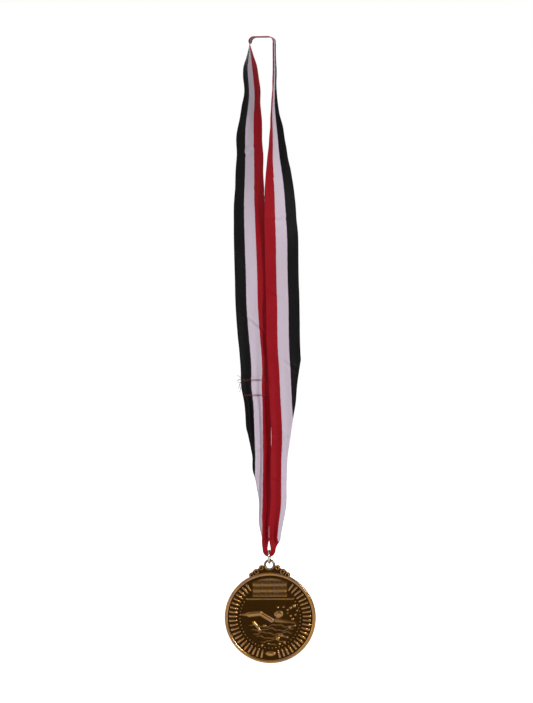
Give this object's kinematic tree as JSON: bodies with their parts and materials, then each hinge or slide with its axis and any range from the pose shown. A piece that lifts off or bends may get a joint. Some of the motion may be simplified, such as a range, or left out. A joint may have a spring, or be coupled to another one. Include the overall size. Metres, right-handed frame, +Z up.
{
  "type": "finisher medal on a neck ribbon",
  "caption": "Round antique-gold sports medal with a scroll-shouldered loop and a jump ring, hanging from a striped woven neck ribbon draped over a hook.",
  "frame": {"origin": "middle of the flat underside of the ribbon at the top of its loop, where it rests on its hook", "axes": "+Z up, along the hanging ribbon; +X to the right of someone who looks at the medal's front; +Y away from them, so the front faces -Y"},
  "size_m": [0.06, 0.022, 0.4111],
  "materials": {
    "woven_ribbon": "ribbed polyester weave with a faint satin sheen, in red, white and black stripes",
    "sewing_thread": "matt polyester thread",
    "pale_ring_wire": "bright pale plated wire",
    "antique_gold": "antique gold plating, dark in the recesses and polished on the high relief"
  },
  "bodies": {
    "ribbon": {"ribbon_crown": "woven_ribbon", "ribbon_left_leg": "woven_ribbon", "ribbon_right_leg": "woven_ribbon", "ribbon_lap_end": "woven_ribbon", "seam_thread_upper": "sewing_thread", "seam_thread_lower": "sewing_thread"},
    "ribbon_end": {"ribbon_tip": "woven_ribbon"},
    "ring": {"jump_ring": "pale_ring_wire"},
    "medal": {"medal": "antique_gold"}
  },
  "joints": [
    {"name": "ribbon_twist", "type": "hinge", "parent": "ribbon", "child": "ribbon_end", "pos_m": [0, 0, -0.32], "axis": [0, 0, 1], "range_deg": [-90, 90]},
    {"name": "ring_rock", "type": "hinge", "parent": "ribbon_end", "child": "ring", "pos_m": [0, 0, -0.3385], "axis": [1, 0, 0], "range_deg": [-75, 75]},
    {"name": "medal_swing", "type": "hinge", "parent": "ring", "child": "medal", "pos_m": [0, 0, -0.34435], "axis": [0, 1, 0], "range_deg": [-40, 40]}
  ]
}
